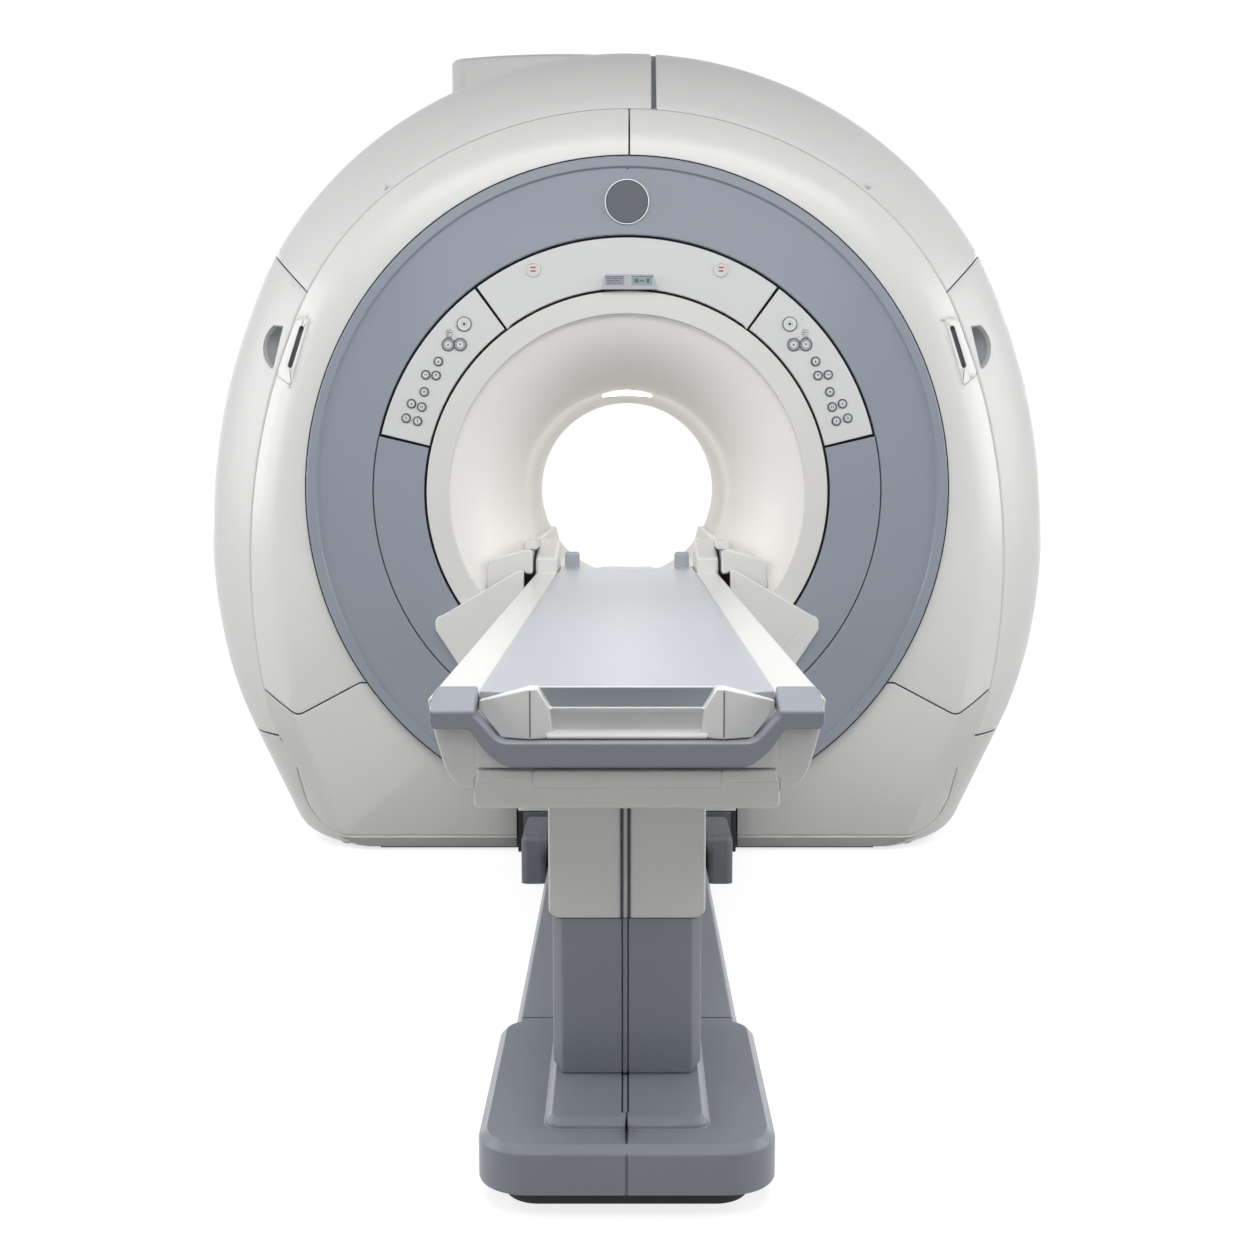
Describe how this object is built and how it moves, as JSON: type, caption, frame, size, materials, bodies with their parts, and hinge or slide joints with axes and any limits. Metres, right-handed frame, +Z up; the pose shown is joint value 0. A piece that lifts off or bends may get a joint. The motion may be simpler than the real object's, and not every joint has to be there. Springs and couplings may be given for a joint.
{
  "type": "mri scanner",
  "caption": "Cylindrical MRI scanner with a rounded housing, a wide bore and a docked patient table that undocks, lifts and slides its cradle in.",
  "frame": {"origin": "on the floor straight below the isocentre of the bore", "axes": "+Y runs along the bore, away from the table; +X is to the right of someone at the foot of the table; +Z is up"},
  "size_m": [2.4364, 3.852, 2.3339],
  "materials": {
    "bore_white": "satin warm white liner",
    "bumper_grey": "grey bumper",
    "coil_resin": "cast resin",
    "column_grey": "grey lacquered column",
    "cover_white": "gloss white moulded cover",
    "cradle_grey": "pale blue-grey laminate",
    "dark_grey": "dark grey moulding",
    "disc_blue": "satin grey-blue lacquer",
    "display_grey": "grey display housing",
    "frame_paint": "grey painted frame",
    "key_grey": "matt grey key",
    "panel_blue": "satin grey-blue moulding",
    "panel_white": "satin white moulded panel",
    "shell_white": "satin white moulded shell",
    "steel": "bare steel",
    "stop_white": "white key with a red mark",
    "trim_white": "white trim moulding"
  },
  "bodies": {
    "gantry": {"bezel_ring": "bore_white", "bore_bridge": "bore_white", "bore_tube": "bore_white", "cover_frame": "frame_paint", "dock_block": "dark_grey", "dock_surround": "trim_white", "front_disc": "disc_blue", "front_flare": "bore_white", "gradient_coil": "coil_resin", "inner_disc": "panel_blue", "left_bore_rail": "trim_white", "left_button_panel": "panel_white", "left_front_cover": "cover_white", "left_lower_cover": "cover_white", "left_side_panel": "shell_white", "left_top_shell": "shell_white", "magnet_feet": "frame_paint", "magnet_vessel": "steel", "rear_cover": "shell_white", "right_bore_rail": "trim_white", "right_button_panel": "panel_white", "right_front_cover": "cover_white", "right_lower_cover": "cover_white", "right_side_panel": "shell_white", "right_top_shell": "shell_white", "status_display": "display_grey", "top_control_panel": "panel_white", "turret_cover": "shell_white"},
    "table_base": {"base_cover": "column_grey", "base_plinth": "dark_grey", "lower_column": "column_grey", "dock_arm": "column_grey", "dock_foot": "column_grey"},
    "table_top": {"upper_sleeve": "trim_white", "table_frame": "trim_white", "end_bumper": "bumper_grey", "foot_end_cap": "trim_white"},
    "cradle": {"cradle": "cradle_grey"},
    "left_call_key": {"left_call_key": "key_grey"},
    "left_key_1": {"left_key_1": "key_grey"},
    "left_key_2": {"left_key_2": "key_grey"},
    "left_key_3": {"left_key_3": "key_grey"},
    "left_key_4": {"left_key_4": "key_grey"},
    "left_key_5": {"left_key_5": "key_grey"},
    "left_key_6": {"left_key_6": "key_grey"},
    "left_key_7": {"left_key_7": "key_grey"},
    "left_key_8": {"left_key_8": "key_grey"},
    "left_rocker_key": {"left_rocker_key": "key_grey"},
    "left_stop_key": {"left_stop_key": "stop_white"},
    "right_call_key": {"right_call_key": "key_grey"},
    "right_key_1": {"right_key_1": "key_grey"},
    "right_key_2": {"right_key_2": "key_grey"},
    "right_key_3": {"right_key_3": "key_grey"},
    "right_key_4": {"right_key_4": "key_grey"},
    "right_key_5": {"right_key_5": "key_grey"},
    "right_key_6": {"right_key_6": "key_grey"},
    "right_key_7": {"right_key_7": "key_grey"},
    "right_key_8": {"right_key_8": "key_grey"},
    "right_rocker_key": {"right_rocker_key": "key_grey"},
    "right_stop_key": {"right_stop_key": "stop_white"}
  },
  "joints": [
    {"name": "table_undock", "type": "slide", "parent": "gantry", "child": "table_base", "axis": [0, 1, 0], "range_m": [-0.6, 0]},
    {"name": "table_lift", "type": "slide", "parent": "table_base", "child": "table_top", "axis": [0, 0, 1], "range_m": [-0.17, 0]},
    {"name": "cradle_slide", "type": "slide", "parent": "table_top", "child": "cradle", "axis": [0, 1, 0], "range_m": [0, 1.1]},
    {"name": "left_call_key_push", "type": "slide", "parent": "gantry", "child": "left_call_key", "axis": [0, 1, 0], "range_m": [0, 0.002], "stiffness_N_per_m": 400},
    {"name": "left_key_1_push", "type": "slide", "parent": "gantry", "child": "left_key_1", "axis": [0, 1, 0], "range_m": [0, 0.002], "stiffness_N_per_m": 400},
    {"name": "left_key_2_push", "type": "slide", "parent": "gantry", "child": "left_key_2", "axis": [0, 1, 0], "range_m": [0, 0.002], "stiffness_N_per_m": 400},
    {"name": "left_key_3_push", "type": "slide", "parent": "gantry", "child": "left_key_3", "axis": [0, 1, 0], "range_m": [0, 0.002], "stiffness_N_per_m": 400},
    {"name": "left_key_4_push", "type": "slide", "parent": "gantry", "child": "left_key_4", "axis": [0, 1, 0], "range_m": [0, 0.002], "stiffness_N_per_m": 400},
    {"name": "left_key_5_push", "type": "slide", "parent": "gantry", "child": "left_key_5", "axis": [0, 1, 0], "range_m": [0, 0.002], "stiffness_N_per_m": 400},
    {"name": "left_key_6_push", "type": "slide", "parent": "gantry", "child": "left_key_6", "axis": [0, 1, 0], "range_m": [0, 0.002], "stiffness_N_per_m": 400},
    {"name": "left_key_7_push", "type": "slide", "parent": "gantry", "child": "left_key_7", "axis": [0, 1, 0], "range_m": [0, 0.002], "stiffness_N_per_m": 400},
    {"name": "left_key_8_push", "type": "slide", "parent": "gantry", "child": "left_key_8", "axis": [0, 1, 0], "range_m": [0, 0.002], "stiffness_N_per_m": 400},
    {"name": "left_rocker_key_rock", "type": "hinge", "parent": "gantry", "child": "left_rocker_key", "pos_m": [-0.4695, -0.7333, 1.406], "axis": [0, 0, 1], "range_deg": [-3, 3], "stiffness_Nm_per_rad": 1.5},
    {"name": "left_stop_key_push", "type": "slide", "parent": "gantry", "child": "left_stop_key", "axis": [0, 1, 0], "range_m": [0, 0.002], "stiffness_N_per_m": 400},
    {"name": "right_call_key_push", "type": "slide", "parent": "gantry", "child": "right_call_key", "axis": [0, 1, 0], "range_m": [0, 0.002], "stiffness_N_per_m": 400},
    {"name": "right_key_1_push", "type": "slide", "parent": "gantry", "child": "right_key_1", "axis": [0, 1, 0], "range_m": [0, 0.002], "stiffness_N_per_m": 400},
    {"name": "right_key_2_push", "type": "slide", "parent": "gantry", "child": "right_key_2", "axis": [0, 1, 0], "range_m": [0, 0.002], "stiffness_N_per_m": 400},
    {"name": "right_key_3_push", "type": "slide", "parent": "gantry", "child": "right_key_3", "axis": [0, 1, 0], "range_m": [0, 0.002], "stiffness_N_per_m": 400},
    {"name": "right_key_4_push", "type": "slide", "parent": "gantry", "child": "right_key_4", "axis": [0, 1, 0], "range_m": [0, 0.002], "stiffness_N_per_m": 400},
    {"name": "right_key_5_push", "type": "slide", "parent": "gantry", "child": "right_key_5", "axis": [0, 1, 0], "range_m": [0, 0.002], "stiffness_N_per_m": 400},
    {"name": "right_key_6_push", "type": "slide", "parent": "gantry", "child": "right_key_6", "axis": [0, 1, 0], "range_m": [0, 0.002], "stiffness_N_per_m": 400},
    {"name": "right_key_7_push", "type": "slide", "parent": "gantry", "child": "right_key_7", "axis": [0, 1, 0], "range_m": [0, 0.002], "stiffness_N_per_m": 400},
    {"name": "right_key_8_push", "type": "slide", "parent": "gantry", "child": "right_key_8", "axis": [0, 1, 0], "range_m": [0, 0.002], "stiffness_N_per_m": 400},
    {"name": "right_rocker_key_rock", "type": "hinge", "parent": "gantry", "child": "right_rocker_key", "pos_m": [0.4695, -0.7333, 1.406], "axis": [0, 0, 1], "range_deg": [-3, 3], "stiffness_Nm_per_rad": 1.5},
    {"name": "right_stop_key_push", "type": "slide", "parent": "gantry", "child": "right_stop_key", "axis": [0, 1, 0], "range_m": [0, 0.002], "stiffness_N_per_m": 400}
  ]
}
